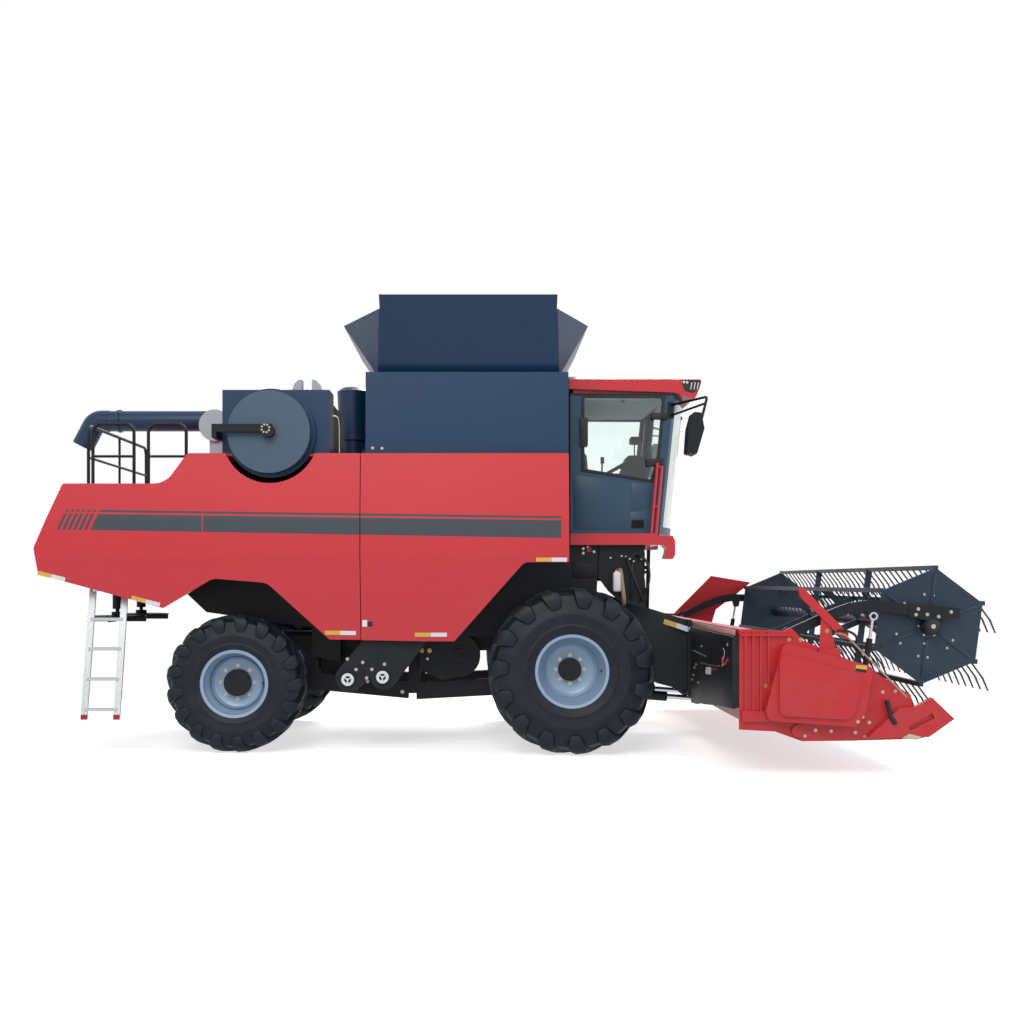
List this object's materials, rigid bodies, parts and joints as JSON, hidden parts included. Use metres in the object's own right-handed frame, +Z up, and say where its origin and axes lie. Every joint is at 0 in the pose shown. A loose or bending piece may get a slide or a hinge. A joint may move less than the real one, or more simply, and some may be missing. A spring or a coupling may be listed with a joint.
{
  "type": "combine harvester",
  "caption": "Self-propelled combine harvester with a reel header, cab, grain tank with opened extension and a side unloading auger.",
  "frame": {"origin": "on the ground, under the middle of the machine's bounding box", "axes": "+X forward, towards the header; +Y to the machine's left; +Z up"},
  "size_m": [9.2626, 5.76, 4.334],
  "materials": {
    "red_paint": "satin red enamel",
    "dark_paint": "satin blue-black enamel",
    "black_paint": "satin black enamel",
    "grey_paint": "dark grey enamel",
    "silver_paint": "silver grey enamel",
    "tyre": "matt black rubber",
    "aluminium": "mill-finish aluminium",
    "rod_chrome": "hard chromed rod",
    "galvanised": "galvanised sheet",
    "glass": "tinted safety glass",
    "trim_plastic": "black moulded plastic",
    "lamp_lens": "clear moulded lens over a bright reflector",
    "seat_cloth": "dark grey woven cloth"
  },
  "bodies": {
    "chassis": {"chassis_frame": "black_paint", "threshing_body": "black_paint", "elevators": "black_paint", "rear_panel_right": "red_paint", "rear_panel_left": "red_paint", "rear_hood": "red_paint", "front_axle": "black_paint", "rear_axle": "black_paint", "grain_tank": "dark_paint", "tank_extension": "dark_paint", "engine": "black_paint", "radiator_box": "dark_paint", "screen_duct": "black_paint", "air_cleaner": "silver_paint", "exhaust": "silver_paint", "unloader_turret": "dark_paint", "deck_rails": "black_paint", "rear_ladder": "aluminium", "cab_frame": "dark_paint", "cab_glass": "glass", "cab_roof": "red_paint", "lamps": "lamp_lens", "seat": "seat_cloth", "controls": "trim_plastic", "cab_platform": "red_paint", "valve_rack": "black_paint", "access_ladder": "black_paint", "front_handrail": "red_paint", "mirrors": "black_paint"},
    "front_wheel_right": {"front_tyre_right": "tyre", "front_rim_right": "silver_paint"},
    "front_wheel_left": {"front_tyre_left": "tyre", "front_rim_left": "silver_paint"},
    "rear_knuckle_right": {"knuckle_right": "black_paint"},
    "rear_knuckle_left": {"knuckle_left": "black_paint"},
    "rear_wheel_right": {"rear_tyre_right": "tyre", "rear_rim_right": "silver_paint"},
    "rear_wheel_left": {"rear_tyre_left": "tyre", "rear_rim_left": "silver_paint"},
    "steering_tie_rod": {"tie_rod": "black_paint"},
    "panel_door_right": {"side_door_right": "red_paint"},
    "panel_door_left": {"side_door_left": "red_paint"},
    "cab_door_leaf": {"cab_door": "dark_paint", "door_glass": "glass"},
    "dust_screen": {"rotary_screen": "grey_paint"},
    "unloading_auger": {"unloader_tube": "dark_paint"},
    "header": {"feeder_house": "black_paint", "header_frame": "red_paint", "cutter_bar": "black_paint", "header_end_right": "red_paint", "header_end_left": "red_paint"},
    "auger": {"header_auger": "grey_paint"},
    "reel_lift": {"reel_arms": "black_paint"},
    "reel_rotor": {"reel": "grey_paint"},
    "lift_cylinder_barrels": {"lift_barrels": "black_paint"},
    "lift_cylinder_rods": {"lift_rods": "rod_chrome"},
    "reel_cylinder_barrels": {"reel_barrels": "black_paint"},
    "reel_cylinder_rods": {"reel_rods": "rod_chrome"},
    "spreader_disc_right": {"spreader_right": "black_paint"},
    "spreader_disc_left": {"spreader_left": "black_paint"}
  },
  "joints": [
    {"name": "front_wheel_right_spin", "type": "hinge", "parent": "chassis", "child": "front_wheel_right", "pos_m": [1.06, -1.29, 0.8], "axis": [0, 1, 0], "continuous": true},
    {"name": "front_wheel_left_spin", "type": "hinge", "parent": "chassis", "child": "front_wheel_left", "pos_m": [1.06, 1.29, 0.8], "axis": [0, 1, 0], "continuous": true},
    {"name": "steer_right", "type": "hinge", "parent": "chassis", "child": "rear_knuckle_right", "pos_m": [-2.185, -0.93, 0.667], "axis": [0, 0, 1], "range_deg": [-25, 25]},
    {"name": "steer_left", "type": "hinge", "parent": "chassis", "child": "rear_knuckle_left", "pos_m": [-2.185, 0.93, 0.667], "axis": [0, 0, 1], "range_deg": [-26, 26]},
    {"name": "rear_wheel_right_spin", "type": "hinge", "parent": "rear_knuckle_right", "child": "rear_wheel_right", "pos_m": [-2.185, -1.2, 0.667], "axis": [0, 1, 0], "continuous": true},
    {"name": "rear_wheel_left_spin", "type": "hinge", "parent": "rear_knuckle_left", "child": "rear_wheel_left", "pos_m": [-2.185, 1.2, 0.667], "axis": [0, 1, 0], "continuous": true},
    {"name": "tie_rod_swing", "type": "hinge", "parent": "rear_knuckle_right", "child": "steering_tie_rod", "pos_m": [-2.375, -0.93, 0.527], "axis": [0, 0, 1], "range_deg": [-26, 26]},
    {"name": "panel_door_right_swing", "type": "hinge", "parent": "chassis", "child": "panel_door_right", "pos_m": [0.27, -1.38, 2.868], "axis": [-1, 0, 0], "range_deg": [0, 80]},
    {"name": "panel_door_left_swing", "type": "hinge", "parent": "chassis", "child": "panel_door_left", "pos_m": [0.27, 1.38, 2.868], "axis": [1, 0, 0], "range_deg": [0, 80]},
    {"name": "cab_door_swing", "type": "hinge", "parent": "chassis", "child": "cab_door_leaf", "pos_m": [1.255, 0.832, 2.85], "axis": [0, 0, 1], "range_deg": [0, 75]},
    {"name": "dust_screen_spin", "type": "hinge", "parent": "chassis", "child": "dust_screen", "pos_m": [-1.833, -1.43, 3.087], "axis": [0, 1, 0], "continuous": true},
    {"name": "unloading_auger_swing", "type": "hinge", "parent": "chassis", "child": "unloading_auger", "pos_m": [-1.324, 1.15, 3.4], "axis": [0, 0, -1], "range_deg": [0, 95]},
    {"name": "header_lift", "type": "hinge", "parent": "chassis", "child": "header", "pos_m": [1.4, 0, 1.33], "axis": [0, -1, 0], "range_deg": [-6.5, 20]},
    {"name": "auger_spin", "type": "hinge", "parent": "header", "child": "auger", "pos_m": [2.96, 0, 0.65], "axis": [0, 1, 0], "continuous": true},
    {"name": "reel_lift_swing", "type": "hinge", "parent": "header", "child": "reel_lift", "pos_m": [2.815, 0, 1.204], "axis": [0, -1, 0], "range_deg": [-6, 22]},
    {"name": "reel_spin", "type": "hinge", "parent": "reel_lift", "child": "reel_rotor", "pos_m": [4.04, 0, 1.272], "axis": [0, 1, 0], "continuous": true},
    {"name": "lift_barrel_swing", "type": "hinge", "parent": "chassis", "child": "lift_cylinder_barrels", "pos_m": [1.255, 0, 0.52], "axis": [0, -1, 0], "range_deg": [-7, 19]},
    {"name": "lift_rod_slide", "type": "slide", "parent": "lift_cylinder_barrels", "child": "lift_cylinder_rods", "axis": [0.9975, 0, -0.0714], "range_m": [-0.1, 0.29]},
    {"name": "reel_barrel_swing", "type": "hinge", "parent": "header", "child": "reel_cylinder_barrels", "pos_m": [3.43, 0, 0.72], "axis": [0, -1, 0], "range_deg": [-3, 10]},
    {"name": "reel_rod_slide", "type": "slide", "parent": "reel_cylinder_barrels", "child": "reel_cylinder_rods", "axis": [0.1574, 0, 0.9875], "range_m": [-0.075, 0.26]},
    {"name": "spreader_right_spin", "type": "hinge", "parent": "chassis", "child": "spreader_disc_right", "pos_m": [-3.6, -0.43, 1.3], "axis": [0, 0, 1], "continuous": true},
    {"name": "spreader_left_spin", "type": "hinge", "parent": "chassis", "child": "spreader_disc_left", "pos_m": [-3.6, 0.43, 1.3], "axis": [0, 0, 1], "continuous": true}
  ],
  "couplings": [
    {"joint": "steer_left", "follows": "steer_right", "ratio": 1},
    {"joint": "tie_rod_swing", "follows": "steer_right", "ratio": -1},
    {"joint": "lift_barrel_swing", "follows": "header_lift", "ratio": 0.872},
    {"joint": "lift_rod_slide", "follows": "header_lift", "m_per_rad": 0.803},
    {"joint": "reel_barrel_swing", "follows": "reel_lift_swing", "ratio": 0.433},
    {"joint": "reel_rod_slide", "follows": "reel_lift_swing", "m_per_rad": 0.6585}
  ]
}
